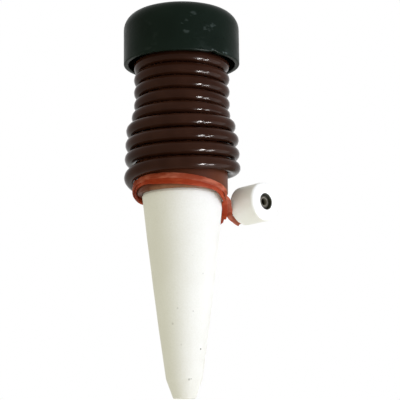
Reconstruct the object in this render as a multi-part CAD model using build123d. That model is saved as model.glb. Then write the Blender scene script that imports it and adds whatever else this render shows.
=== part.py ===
from build123d import *
import math
import os

os.makedirs("parts", exist_ok=True)

# Self watering spike: a hollow porous ceramic cone under a plastic neck with a screw cap.
# A suction hose is wound round the neck and its end sits in a ceramic weight,
# which a rubber band holds against the collar.
# Lengths are in millimetres, +Z is up and the origin is the centre of the spike's flat tip.

# Ceramic spike
SPIKE_HEIGHT = 78.8
SPIKE_TOP_RADIUS = 15.9
SPIKE_SIDE_BULGE = 0.33
SPIKE_SIDE_STEPS = 4
SPIKE_WALL = 3.0
SPIKE_FLOOR = 6.0
TIP_FLAT_RADIUS = 4.3
TIP_BEVEL_RADIUS = 7.0
TIP_BEVEL_HEIGHT = 7.4
SPIKE_FLOOR_FLAT_RADIUS = 1.8
SPIGOT_STEP = 0.3
SPIGOT_HEIGHT = 13.0
RIM_CHAMFER = 0.6

# Neck moulding: a collar that takes the spike, a flare and a narrow filling neck
COLLAR_WALL = 2.05
COLLAR_HEIGHT = 13.0
COLLAR_TAPER_HEIGHT = 9.0
COLLAR_TAPER_STEP = 0.6
COLLAR_EDGE_ROUND = 0.5
FLARE_HEIGHT = 9.0
NECK_RADIUS = 13.85
NECK_HEIGHT = 38.5
NECK_WALL = 2.45
MOUTH_CHAMFER = 0.5
SPIGOT_CLEARANCE = 0.15
EDGE_CLEARANCE = 0.2

# Seal between the spike's spigot and the neck
JOINT_SEAL_THICKNESS = 2.0

# Screw cap: an outer skirt that hangs over the top turn of hose and an inner threaded sleeve
SKIRT_ROOM = 4.7
CAP_HEIGHT = 21.1
CAP_SHOULDER_ROUND = 7.0
CAP_WALL = 1.8
CAP_TOP_THICKNESS = 2.0
CAP_RIM_CHAMFER = 0.5
SLEEVE_WALL = 1.75
SLEEVE_HEIGHT = 12.7
THREAD_ROOM = 1.0

# Rubber disc under the cap's top
CAP_SEAL_THICKNESS = 2.0
SEAL_GAP = 0.1
SEAL_SIDE_CLEARANCE = 0.1

# Suction hose
HOSE_OUTER_RADIUS = 2.5
HOSE_BORE_RADIUS = 1.5
HOSE_SIDES = 8
TURN_GAP = 0.45
SEAT_GAP = 0.15
WINDING_DEPTH = 14.5
WINDING_TILT = 1.0
WINDING_START_ANGLE = 90
WINDING_END_ANGLE = 43.6
WINDING_TURNS = 9 + (WINDING_START_ANGLE - WINDING_END_ANGLE) / 360
STEP_LEAD = 1.5
DROP_START_TURN = 8.68
DROP_WIDENED_TURN = 8.86
TAIL_BAND_GAP = 0.3
TAIL_DEPTH = 4.0
TAIL_END_SLOPE = 0.034
STRAIGHT_END = 2 * HOSE_OUTER_RADIUS

# Side port of the neck that the hose is pushed on
PORT_ARM = 3.0
PORT_BORE_RADIUS = 0.9
BARB_LENGTH = 4.6
BARB_CLEARANCE = 0.06
BARB_BORE_EXTRA = 0.6

# Ceramic weight on the hose end
WEIGHT_RADIUS = 7.65
WEIGHT_LENGTH = 12.8
WEIGHT_CHAMFER = 1.2
WEIGHT_BORE_CLEARANCE = 0.12
WEIGHT_COUNTERSINK = 0.6
WEIGHT_SETBACK = 6.3
HOSE_END_RECESS = 1.1

# Rubber band, wound twice round the collar, with a hitch round the hose
BAND_STRAND_HEIGHT = 2.2
BAND_THICKNESS = 0.9
BAND_COLLAR_GAP = 0.6
BAND_SIDE_SHIFT = 0.4
BAND_HEIGHT_ON_COLLAR = 0.4
BAND_FRONT_RISE = 3.0
BAND_GROOVE = 0.25
HITCH_GAP = 0.1
HITCH_SETBACK = 2.0
HITCH_WIDTH = 2.2

# Values shared by several pieces
CUT_OVERRUN = 5.0

SPIGOT_RADIUS = SPIKE_TOP_RADIUS - SPIGOT_STEP
SPIGOT_TOP = SPIKE_HEIGHT + SPIGOT_HEIGHT
SPIGOT_BORE_RADIUS = SPIGOT_RADIUS - SPIKE_WALL
SOCKET_RADIUS = SPIGOT_RADIUS + SPIGOT_CLEARANCE
SOCKET_TOP = SPIGOT_TOP + JOINT_SEAL_THICKNESS

COLLAR_RADIUS = SOCKET_RADIUS + COLLAR_WALL
COLLAR_SHOULDER_RADIUS = COLLAR_RADIUS - COLLAR_TAPER_STEP
COLLAR_BOTTOM = SPIKE_HEIGHT + EDGE_CLEARANCE
COLLAR_TOP = COLLAR_BOTTOM + COLLAR_HEIGHT
FLARE_BOTTOM = COLLAR_TOP + COLLAR_TAPER_HEIGHT
FLARE_TOP = FLARE_BOTTOM + FLARE_HEIGHT
NECK_TOP = FLARE_TOP + NECK_HEIGHT
NECK_BORE_RADIUS = NECK_RADIUS - NECK_WALL

SEAL_BOTTOM = NECK_TOP + SEAL_GAP
SEAL_TOP = SEAL_BOTTOM + CAP_SEAL_THICKNESS
CAP_TOP = SEAL_TOP + CAP_TOP_THICKNESS
CAP_RIM = CAP_TOP - CAP_HEIGHT
SLEEVE_BORE_RADIUS = NECK_RADIUS + THREAD_ROOM
SLEEVE_RADIUS = SLEEVE_BORE_RADIUS + SLEEVE_WALL
SKIRT_RADIUS = SLEEVE_RADIUS + SKIRT_ROOM
CAP_RADIUS = SKIRT_RADIUS + CAP_WALL
SLEEVE_BOTTOM = SEAL_TOP - SLEEVE_HEIGHT

WINDING_TOP = NECK_TOP - WINDING_DEPTH
TURN_PITCH = 2 * HOSE_OUTER_RADIUS + TURN_GAP
UPPER_COIL_RADIUS = NECK_RADIUS + SEAT_GAP + HOSE_OUTER_RADIUS
MIDDLE_COIL_RADIUS = COLLAR_SHOULDER_RADIUS + SEAT_GAP + HOSE_OUTER_RADIUS
LOWER_COIL_RADIUS = COLLAR_RADIUS + SEAT_GAP + HOSE_OUTER_RADIUS

BAND_LEVEL = COLLAR_BOTTOM + BAND_HEIGHT_ON_COLLAR
BAND_INNER_RADIUS = COLLAR_RADIUS + BAND_COLLAR_GAP
BAND_OUTER_RADIUS = BAND_INNER_RADIUS + BAND_THICKNESS
TAIL_RADIUS = BAND_OUTER_RADIUS + TAIL_BAND_GAP + HOSE_OUTER_RADIUS
TAIL_END_LEVEL = COLLAR_BOTTOM - TAIL_DEPTH


def smooth_share(value):
    """Ease from 0 to 1 with a level start and a level end."""
    share = min(max(value, 0), 1)
    return share * share * (3 - 2 * share)


def seat_radius(level):
    """Centre radius of a turn that lies on the neck, the flare or the collar at this level."""
    flare_share = smooth_share((FLARE_TOP + STEP_LEAD - level) / (FLARE_HEIGHT + STEP_LEAD))
    taper_share = min(max((FLARE_BOTTOM - level) / COLLAR_TAPER_HEIGHT, 0), 1)
    on_flare = flare_share * (MIDDLE_COIL_RADIUS - UPPER_COIL_RADIUS)
    on_taper = taper_share * (LOWER_COIL_RADIUS - MIDDLE_COIL_RADIUS)
    return UPPER_COIL_RADIUS + on_flare + on_taper


def winding_point(turn):
    """Centre of the hose after this many turns down from the side port."""
    angle = math.radians(WINDING_START_ANGLE - 360 * turn)
    level = WINDING_TOP - TURN_PITCH * turn - WINDING_TILT * math.cos(angle)
    radius = seat_radius(level)
    left_turns = WINDING_TURNS - turn
    rest_level = TAIL_END_LEVEL - TAIL_END_SLOPE * TAIL_RADIUS * math.radians(360 * left_turns)
    drop = smooth_share((turn - DROP_START_TURN) / (WINDING_TURNS - DROP_START_TURN))
    widen = smooth_share((turn - DROP_START_TURN) / (DROP_WIDENED_TURN - DROP_START_TURN))
    level = level + drop * (rest_level - level)
    radius = radius + widen * (TAIL_RADIUS - radius)
    return Vector(radius * math.cos(angle), radius * math.sin(angle), level)


def winding_direction(turn):
    """Direction of the hose at this turn, the way it runs down."""
    small_share = 1e-4
    return (winding_point(turn + small_share) - winding_point(turn - small_share)).normalized()


def biarc(start, start_direction, end, end_direction):
    """Two tangent arcs from start to end that leave and arrive in the given directions."""
    chord = end - start
    both = start_direction + end_direction
    square = both.dot(both) - 4
    linear = -2 * chord.dot(both)
    constant = chord.dot(chord)
    reach = (-linear - math.sqrt(linear * linear - 4 * square * constant)) / (2 * square)
    first_handle = start + start_direction * reach
    second_handle = end - end_direction * reach
    middle = (first_handle + second_handle) * 0.5
    middle_direction = (second_handle - first_handle).normalized()
    first = Edge.make_tangent_arc(start, start_direction, middle)
    second = Edge.make_tangent_arc(middle, middle_direction, end)
    return [first, second]


def make_winding_path():
    """Straight start, quarter turns as biarcs, straight end."""
    count = round(4 * WINDING_TURNS)
    turns = [WINDING_TURNS * index / count for index in range(count + 1)]
    points = [winding_point(turn) for turn in turns]
    directions = [winding_direction(turn) for turn in turns]
    start = points[0] - directions[0] * STRAIGHT_END
    end = points[-1] + directions[-1] * STRAIGHT_END
    edges = [Edge.make_line(start, points[0])]
    for index in range(count):
        edges += biarc(points[index], directions[index], points[index + 1], directions[index + 1])
    edges.append(Edge.make_line(points[-1], end))
    return Wire(edges)


def least_turn_gap():
    """Least gap between one turn of hose and the next, measured on points of the centre line."""
    steps = 120
    points = [winding_point(index / steps) for index in range(round(steps * WINDING_TURNS) + 1)]
    least = None
    for index, point in enumerate(points):
        for other in points[index + steps // 2:index + 3 * steps // 2]:
            gap = (other - point).length - 2 * HOSE_OUTER_RADIUS
            if least is None or gap < least:
                least = gap
    return least


def spike_side(inset, end_level):
    """Points up the cone's faintly bulged side, at this depth under its surface."""
    points = []
    for step in range(SPIKE_SIDE_STEPS + 1):
        share = step / SPIKE_SIDE_STEPS
        radius = TIP_BEVEL_RADIUS + share * (SPIKE_TOP_RADIUS - TIP_BEVEL_RADIUS)
        radius = radius + 4 * share * (1 - share) * SPIKE_SIDE_BULGE
        level = TIP_BEVEL_HEIGHT + share * (end_level - TIP_BEVEL_HEIGHT)
        points.append((radius - inset, level))
    return points


def make_spike():
    """Hollow porous cone with a bevelled tip and a spigot that enters the collar."""
    side_end = SPIKE_HEIGHT - RIM_CHAMFER
    outer_side = spike_side(0, side_end)
    bore_side = spike_side(SPIKE_WALL, side_end)
    bore_foot = (TIP_BEVEL_RADIUS - SPIKE_WALL, SPIKE_FLOOR + TIP_BEVEL_RADIUS - SPIKE_WALL)
    profile = make_face(Polyline(
        (0, 0),
        (TIP_FLAT_RADIUS, 0),
        *outer_side,
        (SPIGOT_RADIUS, SPIKE_HEIGHT),
        (SPIGOT_RADIUS, SPIGOT_TOP),
        (SPIGOT_BORE_RADIUS, SPIGOT_TOP),
        (SPIGOT_BORE_RADIUS, SPIKE_HEIGHT),
        *reversed(bore_side[1:]),
        bore_foot,
        (SPIKE_FLOOR_FLAT_RADIUS, SPIKE_FLOOR),
        (0, SPIKE_FLOOR),
        close=True,
    ))
    return revolve(Plane.XZ * profile, Axis.Z)


def make_neck_shell():
    """Collar, flare and filling neck as one revolved moulding."""
    profile = make_face(Polyline(
        (SOCKET_RADIUS, COLLAR_BOTTOM),
        (COLLAR_RADIUS - COLLAR_EDGE_ROUND, COLLAR_BOTTOM),
        (COLLAR_RADIUS, COLLAR_BOTTOM + COLLAR_EDGE_ROUND),
        (COLLAR_RADIUS, COLLAR_TOP),
        (COLLAR_SHOULDER_RADIUS, FLARE_BOTTOM),
        (NECK_RADIUS, FLARE_TOP),
        (NECK_RADIUS, NECK_TOP - MOUTH_CHAMFER),
        (NECK_RADIUS - MOUTH_CHAMFER, NECK_TOP),
        (NECK_BORE_RADIUS, NECK_TOP),
        (NECK_BORE_RADIUS, SOCKET_TOP),
        (SOCKET_RADIUS, SOCKET_TOP),
        close=True,
    ))
    return revolve(Plane.XZ * profile, Axis.Z)


def make_neck():
    """Neck moulding with its side port, an elbow that ends in a barb for the hose."""
    start = winding_point(0)
    direction = winding_direction(0)
    face_centre = start - direction * STRAIGHT_END
    elbow = face_centre - direction * PORT_ARM
    inward = Vector(0, -1, 0)
    leg_length = elbow.Y
    arm = Plane(elbow, z_dir=direction) * extrude(Circle(HOSE_OUTER_RADIUS), PORT_ARM)
    leg = Plane(elbow, z_dir=inward) * extrude(Circle(HOSE_OUTER_RADIUS), leg_length)
    knee = Pos(elbow) * Sphere(HOSE_OUTER_RADIUS)
    barb_radius = HOSE_BORE_RADIUS - BARB_CLEARANCE
    barb = Plane(face_centre, z_dir=direction) * extrude(Circle(barb_radius), BARB_LENGTH)
    bore_length = PORT_ARM + BARB_LENGTH + CUT_OVERRUN
    arm_bore = Plane(elbow, z_dir=direction) * extrude(Circle(PORT_BORE_RADIUS), bore_length)
    leg_bore = Plane(elbow, z_dir=inward) * extrude(Circle(PORT_BORE_RADIUS), leg_length)
    knee_bore = Pos(elbow) * Sphere(PORT_BORE_RADIUS)
    filling_bore = Pos(0, 0, SOCKET_TOP) * extrude(Circle(NECK_BORE_RADIUS), NECK_TOP - SOCKET_TOP)
    port = arm + leg + knee - filling_bore
    return make_neck_shell() + port + barb - arm_bore - leg_bore - knee_bore


def make_joint_seal():
    """Flat ring between the spigot's top and the shoulder inside the collar."""
    ring = Circle(SPIGOT_RADIUS) - Circle(SPIGOT_BORE_RADIUS)
    return Pos(0, 0, SPIGOT_TOP) * extrude(ring, JOINT_SEAL_THICKNESS)


def make_cap():
    """Domed cap: outer skirt, round shoulder, flat top and an inner sleeve for the thread."""
    shell = extrude(Circle(CAP_RADIUS), CAP_HEIGHT)
    shell = fillet(shell.edges().group_by(Axis.Z)[-1], CAP_SHOULDER_ROUND)
    hollow = extrude(Circle(SKIRT_RADIUS), CAP_HEIGHT - CAP_TOP_THICKNESS)
    inner_chamfer = (CAP_SHOULDER_ROUND - CAP_WALL) * (2 - math.sqrt(2))
    hollow = chamfer(hollow.edges().group_by(Axis.Z)[-1], inner_chamfer)
    shell = shell - hollow
    shell = chamfer(shell.edges().group_by(Axis.Z)[0], CAP_RIM_CHAMFER)
    sleeve_start = SLEEVE_BOTTOM - CAP_RIM
    ring = Circle(SLEEVE_RADIUS) - Circle(SLEEVE_BORE_RADIUS)
    sleeve = Pos(0, 0, sleeve_start) * extrude(ring, SLEEVE_HEIGHT)
    return Pos(0, 0, CAP_RIM) * (shell + sleeve)


def make_cap_seal():
    """Rubber disc that the cap presses on the neck's mouth."""
    disc = Cylinder(
        SLEEVE_BORE_RADIUS - SEAL_SIDE_CLEARANCE,
        CAP_SEAL_THICKNESS,
        align=(Align.CENTER, Align.CENTER, Align.MIN),
    )
    return Pos(0, 0, SEAL_BOTTOM) * disc


def make_winding(path):
    """The wound hose as one tube of eight sides, bored where the barb enters."""
    start = path @ 0
    direction = path % 0
    section = Plane(start, z_dir=direction) * RegularPolygon(HOSE_OUTER_RADIUS, HOSE_SIDES)
    tube = sweep(section, path)
    bore_length = BARB_LENGTH + BARB_BORE_EXTRA
    bore = Plane(start, z_dir=direction) * extrude(Circle(HOSE_BORE_RADIUS), bore_length)
    print("winding length", round(path.length, 1))
    print("winding volume", round(tube.volume, 1))
    print("section times length", round(section.area * path.length, 1))
    return tube - bore


def make_tail(tail_plane, length):
    """Straight end of the hose, open where it shows in the weight."""
    return tail_plane * extrude(Circle(HOSE_OUTER_RADIUS) - Circle(HOSE_BORE_RADIUS), length)


def make_weight(tail_plane):
    """Ceramic bead with chamfered ends, bored for the hose and countersunk at both ends."""
    bore_radius = HOSE_OUTER_RADIUS + WEIGHT_BORE_CLEARANCE
    profile = make_face(Polyline(
        (bore_radius + WEIGHT_COUNTERSINK, 0),
        (WEIGHT_RADIUS - WEIGHT_CHAMFER, 0),
        (WEIGHT_RADIUS, WEIGHT_CHAMFER),
        (WEIGHT_RADIUS, WEIGHT_LENGTH - WEIGHT_CHAMFER),
        (WEIGHT_RADIUS - WEIGHT_CHAMFER, WEIGHT_LENGTH),
        (bore_radius + WEIGHT_COUNTERSINK, WEIGHT_LENGTH),
        (bore_radius, WEIGHT_LENGTH - WEIGHT_COUNTERSINK),
        (bore_radius, WEIGHT_COUNTERSINK),
        close=True,
    ))
    body = revolve(Plane.XZ * profile, Axis.Z)
    return tail_plane * Pos(0, 0, WEIGHT_SETBACK) * body


def make_band(tail_plane):
    """Doubled rubber band round the collar, tilted up at the front, hitched round the hose."""
    band_height = 2 * BAND_STRAND_HEIGHT
    tilt = math.degrees(math.atan(BAND_FRONT_RISE / COLLAR_RADIUS))
    slab_size = 2 * (BAND_OUTER_RADIUS + CUT_OVERRUN)
    slab = Pos(0, 0, BAND_LEVEL) * Rot(-tilt, 0, 0) * Box(slab_size, slab_size, band_height)
    tube_height = band_height + 2 * BAND_FRONT_RISE + 2 * CUT_OVERRUN
    tube = Pos(-BAND_SIDE_SHIFT, 0, BAND_LEVEL - tube_height / 2) * extrude(
        Circle(BAND_OUTER_RADIUS) - Circle(BAND_INNER_RADIUS), tube_height
    )
    groove_ring = Pos(-BAND_SIDE_SHIFT, 0, BAND_LEVEL - tube_height / 2) * extrude(
        Circle(BAND_OUTER_RADIUS + CUT_OVERRUN) - Circle(BAND_OUTER_RADIUS - BAND_GROOVE),
        tube_height,
    )
    groove_slab = Pos(0, 0, BAND_LEVEL) * Rot(-tilt, 0, 0) * Box(slab_size, slab_size, BAND_GROOVE)
    loops = tube & slab
    loops = loops - (groove_ring & groove_slab)
    hitch_radius = HOSE_OUTER_RADIUS + HITCH_GAP
    hitch = extrude(Circle(hitch_radius + BAND_THICKNESS) - Circle(hitch_radius), HITCH_WIDTH)
    hitch = tail_plane * Pos(0, 0, -HITCH_SETBACK - HITCH_WIDTH) * hitch
    return loops + hitch


winding_path = make_winding_path()
tail_start = winding_path @ 1
tail_plane = Plane(tail_start, z_dir=winding_path % 1)
tail_length = WEIGHT_SETBACK + WEIGHT_LENGTH - HOSE_END_RECESS

pieces = {
    "ceramic_spike": make_spike(),
    "neck": make_neck(),
    "joint_seal": make_joint_seal(),
    "screw_cap": make_cap(),
    "cap_seal": make_cap_seal(),
    "hose_winding": make_winding(winding_path),
    "hose_tail": make_tail(tail_plane, tail_length),
    "hose_weight": make_weight(tail_plane),
    "rubber_band": make_band(tail_plane),
}

for name, piece in pieces.items():
    export_step(piece, f"parts/{name}.step")

print("least gap between turns", round(least_turn_gap(), 3))
print("hose length", round(winding_path.length + tail_length, 1))
print("tail starts at", tuple(round(value, 2) for value in tail_start))
print("tail direction", tuple(round(value, 3) for value in winding_path % 1))
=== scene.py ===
# %% [markdown]
# A self watering spike, dressed for a portrait.
# The real thing is a hollow cone of porous ceramic that is pushed into the soil of a pot.
# A plastic neck sits on it, a screw cap closes the neck, and a suction hose is wound round
# the neck for storage. The hose ends in a small ceramic weight that a rubber band holds.
# The measured model is loaded first and stays fixed. Every piece below is built in that
# model's own place and size, so nothing has to be fitted by eye.

# %% Load the measured model
import math
import bmesh
import bpy
from mathutils import Matrix, Vector, noise


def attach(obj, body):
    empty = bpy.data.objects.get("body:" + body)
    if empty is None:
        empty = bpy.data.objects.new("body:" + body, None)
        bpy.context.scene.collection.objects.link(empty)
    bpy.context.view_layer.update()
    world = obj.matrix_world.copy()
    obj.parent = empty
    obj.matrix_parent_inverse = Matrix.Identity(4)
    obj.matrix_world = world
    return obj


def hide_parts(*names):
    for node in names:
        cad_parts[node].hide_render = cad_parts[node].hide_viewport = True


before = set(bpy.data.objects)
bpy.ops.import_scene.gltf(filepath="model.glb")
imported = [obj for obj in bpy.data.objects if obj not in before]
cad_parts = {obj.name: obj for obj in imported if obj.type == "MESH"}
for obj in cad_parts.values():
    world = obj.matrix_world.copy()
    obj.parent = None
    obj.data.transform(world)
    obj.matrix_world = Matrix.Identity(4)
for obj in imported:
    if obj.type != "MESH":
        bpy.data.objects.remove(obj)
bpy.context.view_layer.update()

MM = 0.001

# %% [markdown]
# The photograph looks up at the spike by ten degrees from half a metre away, with a long
# lens, so its circles turn into flat ellipses. A camera has three things to settle: where
# it stands, where it points and how long its lens is. The lens follows from how fast the
# ellipses flatten from the cone's top to the cap's rim, and the small roll follows from
# the lean of the middle line.

# %% Camera
VIEW_TILT = 10.0
VIEW_ROLL = -0.63
CAMERA_PLACE = Vector((6.76, -486.9, -8.85)) * MM
FOCAL_PIXELS = 1260
FRAME_PIXELS = 400
SENSOR_WIDTH = 36
NEAREST_SEEN = 10 * MM

camera_data = bpy.data.cameras.new("camera")
camera_data.sensor_width = SENSOR_WIDTH
camera_data.lens = SENSOR_WIDTH * FOCAL_PIXELS / FRAME_PIXELS
camera_data.clip_start = NEAREST_SEEN
camera = bpy.data.objects.new("camera", camera_data)
tilt_turn = Matrix.Rotation(math.radians(90 + VIEW_TILT), 4, "X")
roll_turn = Matrix.Rotation(math.radians(VIEW_ROLL), 4, "Z")
camera.matrix_world = Matrix.Translation(CAMERA_PLACE) @ tilt_turn @ roll_turn
bpy.context.scene.collection.objects.link(camera)
bpy.context.scene.camera = camera
bpy.context.scene.view_settings.view_transform = "Standard"
print("lens", round(camera_data.lens, 1), "mm")

# %% [markdown]
# Every piece here is one of three kinds of mesh: turned round an axis, swept along a line,
# or made by a node tree. Turned pieces come from an outline of corners, each with the
# radius of its rounding, because no moulded or fired edge is truly sharp. Rounding the
# outline once, in the flat, is far cheaper than bevelling the finished mesh.

# %% Outline and lathe helpers
MERGE_DISTANCE = 0.001 * MM
SHARP_ANGLE = math.radians(40)
ON_AXIS = 1e-6


def rounded(corners, steps=4):
    """Points of a closed outline, each corner (x, z, radius) rounded by its radius."""
    points = []
    for index, (x, z, radius) in enumerate(corners):
        here = Vector((x, z))
        before = (Vector(corners[index - 1][:2]) - here).normalized()
        after = (Vector(corners[(index + 1) % len(corners)][:2]) - here).normalized()
        if radius == 0:
            points.append(here)
            continue
        half = before.angle(after) / 2
        centre = here + (before + after).normalized() * (radius / math.sin(half))
        start = here + before * (radius / math.tan(half)) - centre
        end = here + after * (radius / math.tan(half)) - centre
        first = math.atan2(start.y, start.x)
        turn = (math.atan2(end.y, end.x) - first + math.pi) % math.tau - math.pi
        for step in range(steps + 1):
            angle = first + turn * step / steps
            points.append(centre + Vector((math.cos(angle), math.sin(angle))) * radius)
    return points


def add_object(name, data):
    """Link a mesh, curve or lamp as an object that sits at the origin."""
    piece = bpy.data.objects.new(name, data)
    bpy.context.scene.collection.objects.link(piece)
    return piece


def final_mesh(piece):
    """A new mesh of what a curve or a node tree comes out as."""
    graph = bpy.context.evaluated_depsgraph_get()
    return bpy.data.meshes.new_from_object(piece.evaluated_get(graph))


def close_mesh(work, mesh):
    """Merge doubles, turn every face outwards and shade smoothly."""
    bmesh.ops.remove_doubles(work, verts=work.verts, dist=MERGE_DISTANCE)
    bmesh.ops.recalc_face_normals(work, faces=work.faces)
    for face in work.faces:
        face.smooth = True
    for edge in work.edges:
        if len(edge.link_faces) == 2 and edge.calc_face_angle() > SHARP_ANGLE:
            edge.smooth = False
    work.to_mesh(mesh)
    work.free()
    return mesh


def lathe(name, outline, sides=120, place=Matrix.Identity(4), shape=None):
    """Turn a closed outline (mm) round Z. shape may move each point, given it in mm."""
    work = bmesh.new()
    rings = []
    for x, z in outline:
        count = 1 if abs(x) < ON_AXIS else sides
        ring = []
        for side in range(count):
            angle = math.tau * side / sides
            point = Vector((x * math.cos(angle), x * math.sin(angle), z))
            if shape is not None:
                point = shape(point)
            ring.append(work.verts.new(place @ (point * MM)))
        rings.append(ring)
    for low, high in zip(rings, rings[1:] + rings[:1]):
        if len(low) == 1 and len(high) == 1:
            continue
        for side in range(sides):
            following = (side + 1) % sides
            corners = [low[side % len(low)], low[following % len(low)]]
            corners += [high[following % len(high)], high[side % len(high)]]
            work.faces.new(list(dict.fromkeys(corners)))
    return add_object(name, close_mesh(work, bpy.data.meshes.new(name)))


print("helpers ready")

# %% [markdown]
# The finishes are all made from the same few ideas. A broad noise shifts the colour a
# little from place to place, a fine noise lifts and sinks the surface, and a third one
# makes some spots shinier than others. Object coordinates feed them, so a pattern stays
# where it is on the piece when the piece moves with its joint.


# %% Finish helper
class Finish:
    """A material whose nodes are added one by one and wired by name."""

    def __init__(self, name, roughness, specular=0.5):
        self.material = bpy.data.materials.new(name)
        self.material.use_nodes = True
        self.nodes = self.material.node_tree.nodes
        self.links = self.material.node_tree.links
        self.shader = self.nodes["Principled BSDF"]
        self.shader.inputs["Roughness"].default_value = roughness
        self.shader.inputs["Specular IOR Level"].default_value = specular
        self.place = self.nodes.new("ShaderNodeTexCoord").outputs["Object"]

    def plug(self, socket, value):
        """Feed a socket from another one, or set it to a plain value."""
        if isinstance(value, bpy.types.NodeSocket):
            self.links.new(value, socket)
        else:
            socket.default_value = value

    def noise(self, scale, detail=3.0, place=None):
        """Soft random values from 0 to 1. Scale counts features per metre."""
        node = self.nodes.new("ShaderNodeTexNoise")
        self.plug(node.inputs["Vector"], self.place if place is None else place)
        node.inputs["Scale"].default_value = scale
        node.inputs["Detail"].default_value = detail
        return node.outputs["Fac"]

    def math(self, operation, first, second=0.0):
        """One operation on two values."""
        node = self.nodes.new("ShaderNodeMath")
        node.operation = operation
        self.plug(node.inputs[0], first)
        self.plug(node.inputs[1], second)
        return node.outputs[0]

    def remap(self, value, low, high, to_low=0.0, to_high=1.0):
        """Stretch values between low and high to a new range, clamped and eased."""
        node = self.nodes.new("ShaderNodeMapRange")
        node.interpolation_type = "SMOOTHSTEP"
        for name, number in zip(
            ("From Min", "From Max", "To Min", "To Max"), (low, high, to_low, to_high)
        ):
            node.inputs[name].default_value = number
        self.plug(node.inputs["Value"], value)
        return node.outputs["Result"]

    def mix(self, share, first, second):
        """Blend two colours by a share."""
        node = self.nodes.new("ShaderNodeMix")
        node.data_type = "RGBA"
        # The node repeats its sockets' names for each kind of value, so these go by number.
        for number, value in ((0, share), (6, first), (7, second)):
            self.plug(node.inputs[number], value)
        return node.outputs[2]

    def clouds(self, scale, detail, low, high, first, second):
        """Two colours blended by a noise, the second one where the noise is high."""
        return self.mix(self.remap(self.noise(scale, detail), low, high), first, second)

    def stretched(self, x, y, z):
        """Object coordinates scaled by axis, which draws a noise out into streaks."""
        node = self.nodes.new("ShaderNodeMapping")
        self.plug(node.inputs["Vector"], self.place)
        node.inputs["Scale"].default_value = (x, y, z)
        return node.outputs["Vector"]

    def level(self, low, high, axis="Z"):
        """1 below a place on an axis given in mm, falling to 0 at a higher one."""
        node = self.nodes.new("ShaderNodeSeparateXYZ")
        self.links.new(self.place, node.inputs[0])
        return self.remap(node.outputs[axis], low * MM, high * MM, 1.0, 0.0)

    def spot(self, x, y, z, radius, core=0.4):
        """1 round a point given in mm, falling to 0 between core * radius and the radius."""
        node = self.nodes.new("ShaderNodeVectorMath")
        node.operation = "DISTANCE"
        self.plug(node.inputs[0], self.place)
        node.inputs[1].default_value = (x * MM, y * MM, z * MM)
        return self.remap(node.outputs["Value"], radius * MM * core, radius * MM, 1.0, 0.0)

    def bump(self, height, depth, strength=1.0):
        """Raise the surface by depth (mm) where the height is 1."""
        node = self.nodes.new("ShaderNodeBump")
        node.inputs["Strength"].default_value = strength
        node.inputs["Distance"].default_value = depth * MM
        self.plug(node.inputs["Height"], height)
        self.links.new(node.outputs["Normal"], self.shader.inputs["Normal"])

    def colour(self, value):
        """Set or wire the base colour."""
        self.plug(self.shader.inputs["Base Color"], value)

    def roughness(self, value):
        """Set or wire the roughness."""
        self.plug(self.shader.inputs["Roughness"], value)


def dress(piece, finish, body):
    """Give a piece its finish, its body and the record's material slot."""
    piece.data.materials.clear()
    piece.data.materials.append(finish.material)
    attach(piece, body)
    return piece


print("finish helper ready")

# %% [markdown]
# The suction hose comes first, because it is the piece that everything else sits around.
# On the real object it is a soft brown tube, pushed on a port at the back of the neck and
# wound down in nine turns. A tube could be turned, extruded or swept, but a hose is best
# drawn as a line with a thickness: a smooth curve through a few points for each turn.
# The points follow a rule. Each turn lies a little lower than the last, the turns lean a
# little to the right, and below the flare they step out onto the wider collar.

# %% Suction hose
HOSE_RADIUS = 2.575
SECTION_DETAIL = 5
LINE_DETAIL = 4
LINE_ORDER = 3

# Levels and radii are in mm. A name in TURN is a place, in turns down from the port, and
# one in TURNS is a length in turns.
ROUTE_STEPS = 24
ROUTE_TURNS = 9.129
ROUTE_TOP = 133.65
UPPER_PITCH = 5.16
LOWER_PITCH = 5.63
PITCH_CHANGE_TURN = 4.5
LEAN, LEAN_LOSS = 1.2, 0.75
LEAN_IN_TURNS = 0.4
LEAN_LOSS_TURN, LEAN_LOSS_TURNS = 2.5, 4
SIDE_LIFT, SIDE_LIFT_GAIN = -0.45, 1.05
SIDE_LIFT_TURN, SIDE_LIFT_TURNS = 3.7, 1.6
NECK_COIL_RADIUS = 16.5
FLARE_STEP = 3.3
FLARE_TURN, FLARE_TURNS = 4.05, 2.0
TAPER_STEP_PER_TURN = 0.26
TAPER_TURN = 6.2
SAG = 2.4
SAG_TURN, SAG_END_TURN = 8.56, 8.82
DROP_TURN, DROP_WIDE_TURN = 8.80, 8.98
TAIL_RADIUS = 22.1
TAIL_LEVEL = 75.0
TAIL_SLOPE = 0.034


def ease(value):
    """From 0 to 1 with a level start and end."""
    share = min(max(value, 0), 1)
    return share * share * (3 - 2 * share)


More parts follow.
